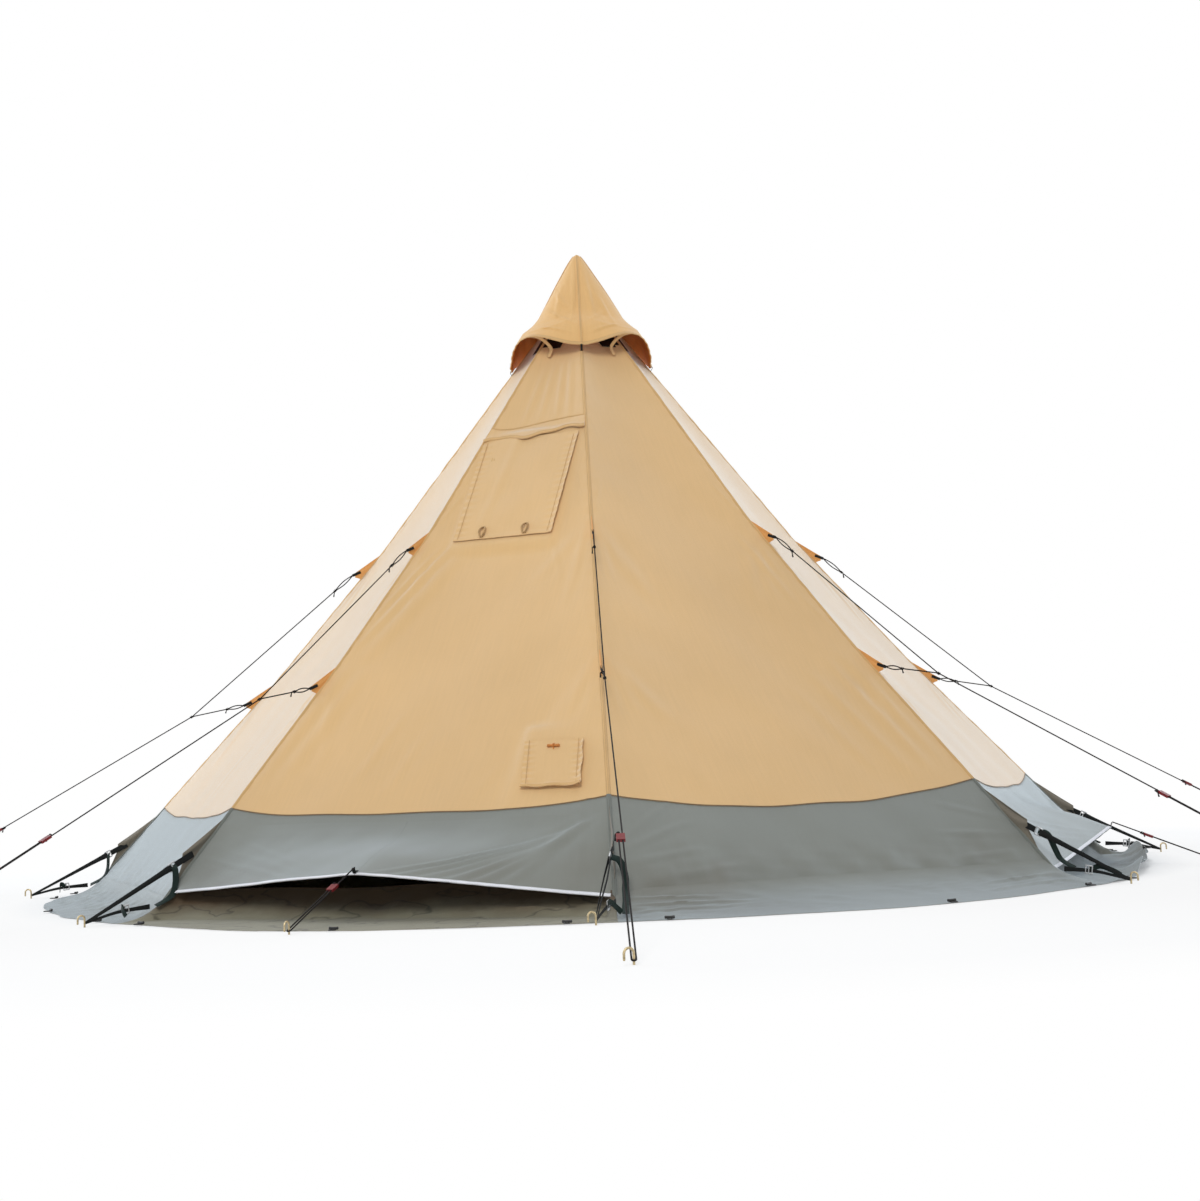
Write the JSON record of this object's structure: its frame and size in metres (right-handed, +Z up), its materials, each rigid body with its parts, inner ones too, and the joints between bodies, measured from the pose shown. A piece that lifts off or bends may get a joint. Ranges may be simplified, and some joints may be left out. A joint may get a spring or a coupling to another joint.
{
  "type": "tipi tent",
  "caption": "Single-pole tipi tent with a rain cap, grey wall with lift-out vent flaps, snow skirt, hatches, door, guylines and pegs.",
  "frame": {"origin": "on the ground under the centre pole", "axes": "+Z up along the pole, -Y towards corner 1, which faces the viewer of the picture"},
  "size_m": [7.0626, 7.5126, 3.12],
  "materials": {
    "canvas": "matt sand-coloured polycotton canvas",
    "wall": "matt grey coated polyester",
    "skirt": "brown-grey coated groundsheet cloth",
    "webbing": "black-green woven webbing",
    "cord": "dark braided cord",
    "slider": "red anodised",
    "peg": "bronze-coloured hard-anodised rod",
    "pole": "satin tube",
    "plastic": "black moulded",
    "zip": "black painted"
  },
  "bodies": {
    "tent": {"pole_foot": "plastic", "pole_lower": "pole", "pole_upper": "pole", "canvas_panel_1": "canvas", "canvas_panel_2": "canvas", "canvas_panel_3": "canvas", "canvas_panel_4": "canvas", "canvas_panel_5": "canvas", "canvas_panel_6": "canvas", "canvas_panel_7": "canvas", "canvas_panel_8": "canvas", "rain_cap": "canvas", "wall_band": "wall", "snow_skirt": "skirt", "guy_line_1": "cord", "guy_peg_1": "peg", "guy_line_2": "cord", "guy_peg_2": "peg", "guy_line_3": "cord", "guy_peg_3": "peg", "guy_line_4": "cord", "guy_peg_4": "peg", "guy_line_5": "cord", "guy_peg_5": "peg", "guy_line_6": "cord", "guy_peg_6": "peg", "guy_line_7": "cord", "guy_peg_7": "peg", "guy_line_8": "cord", "guy_peg_8": "peg", "vent_line_2": "cord", "vent_peg_2": "peg", "vent_line_8": "cord", "vent_peg_8": "peg", "corner_strap_1": "webbing", "corner_strap_2": "webbing", "corner_strap_3": "webbing", "corner_strap_4": "webbing", "corner_strap_5": "webbing", "corner_strap_6": "webbing", "corner_strap_7": "webbing", "corner_strap_8": "webbing"},
    "vent_flap_2": {"vent_flap_2": "wall"},
    "vent_flap_4": {"vent_flap_4": "wall"},
    "vent_flap_6": {"vent_flap_6": "wall"},
    "vent_flap_8": {"vent_flap_8": "wall"},
    "pipe_hatch_flap": {"pipe_hatch_flap": "canvas"},
    "small_hatch_flap": {"small_hatch_flap": "canvas"},
    "door_flap": {"door_flap": "canvas"},
    "door_zip_slider": {"door_zip_slider": "zip"},
    "guy_slider_1": {"guy_slider_1": "slider"},
    "guy_slider_2": {"guy_slider_2": "slider"},
    "guy_slider_3": {"guy_slider_3": "slider"},
    "guy_slider_4": {"guy_slider_4": "slider"},
    "guy_slider_5": {"guy_slider_5": "slider"},
    "guy_slider_6": {"guy_slider_6": "slider"},
    "guy_slider_7": {"guy_slider_7": "slider"},
    "guy_slider_8": {"guy_slider_8": "slider"},
    "vent_slider_2": {"vent_slider_2": "slider"},
    "vent_slider_8": {"vent_slider_8": "slider"}
  },
  "joints": [
    {"name": "vent_hinge_2", "type": "hinge", "parent": "tent", "child": "vent_flap_2", "pos_m": [1.85556, -0.7686, 0.348], "axis": [-0.3827, -0.9239, 0], "range_deg": [-25, 0]},
    {"name": "vent_hinge_4", "type": "hinge", "parent": "tent", "child": "vent_flap_4", "pos_m": [0.7686, 1.85556, 0.348], "axis": [0.9239, -0.3827, 0], "range_deg": [0, 25]},
    {"name": "vent_hinge_6", "type": "hinge", "parent": "tent", "child": "vent_flap_6", "pos_m": [-1.85556, 0.7686, 0.348], "axis": [0.3827, 0.9239, 0], "range_deg": [0, 25]},
    {"name": "vent_hinge_8", "type": "hinge", "parent": "tent", "child": "vent_flap_8", "pos_m": [-0.7686, -1.85556, 0.348], "axis": [-0.9239, 0.3827, 0], "range_deg": [-25, 0]},
    {"name": "pipe_hatch_hinge", "type": "hinge", "parent": "tent", "child": "pipe_hatch_flap", "pos_m": [-0.3992, -0.92455, 1.55258], "axis": [0.9239, -0.3827, 0], "range_deg": [0, 150]},
    {"name": "small_hatch_hinge", "type": "hinge", "parent": "tent", "child": "small_hatch_flap", "pos_m": [-0.23878, -1.81771, 0.62933], "axis": [-0.9239, 0.3827, 0], "range_deg": [0, 150]},
    {"name": "door_hinge", "type": "hinge", "parent": "tent", "child": "door_flap", "pos_m": [-0.39224, 2.30473, 0.035], "axis": [-0.1001, 0.6579, -0.7464], "range_deg": [0, 100]},
    {"name": "door_zip", "type": "slide", "parent": "tent", "child": "door_zip_slider", "axis": [0.3945, -0.536, 0.7464], "range_m": [0, 1]},
    {"name": "guy_slide_1", "type": "slide", "parent": "tent", "child": "guy_slider_1", "axis": [0, -0.9209, -0.3898], "range_m": [0, 0.3]},
    {"name": "guy_slide_2", "type": "slide", "parent": "tent", "child": "guy_slider_2", "axis": [0.62, -0.62, -0.4807], "range_m": [0, 0.3]},
    {"name": "guy_slide_3", "type": "slide", "parent": "tent", "child": "guy_slider_3", "axis": [0.8769, 0, -0.4807], "range_m": [0, 0.3]},
    {"name": "guy_slide_4", "type": "slide", "parent": "tent", "child": "guy_slider_4", "axis": [0.62, 0.62, -0.4807], "range_m": [0, 0.3]},
    {"name": "guy_slide_5", "type": "slide", "parent": "tent", "child": "guy_slider_5", "axis": [0, 0.8769, -0.4807], "range_m": [0, 0.3]},
    {"name": "guy_slide_6", "type": "slide", "parent": "tent", "child": "guy_slider_6", "axis": [-0.62, 0.62, -0.4807], "range_m": [0, 0.3]},
    {"name": "guy_slide_7", "type": "slide", "parent": "tent", "child": "guy_slider_7", "axis": [-0.8769, 0, -0.4807], "range_m": [0, 0.3]},
    {"name": "guy_slide_8", "type": "slide", "parent": "tent", "child": "guy_slider_8", "axis": [-0.62, -0.62, -0.4807], "range_m": [0, 0.3]},
    {"name": "vent_slide_2", "type": "slide", "parent": "tent", "child": "vent_slider_2", "axis": [0.8549, -0.3541, -0.3791], "range_m": [0, 0.12]},
    {"name": "vent_slide_8", "type": "slide", "parent": "tent", "child": "vent_slider_8", "axis": [-0.3541, -0.8549, -0.3791], "range_m": [0, 0.12]}
  ]
}
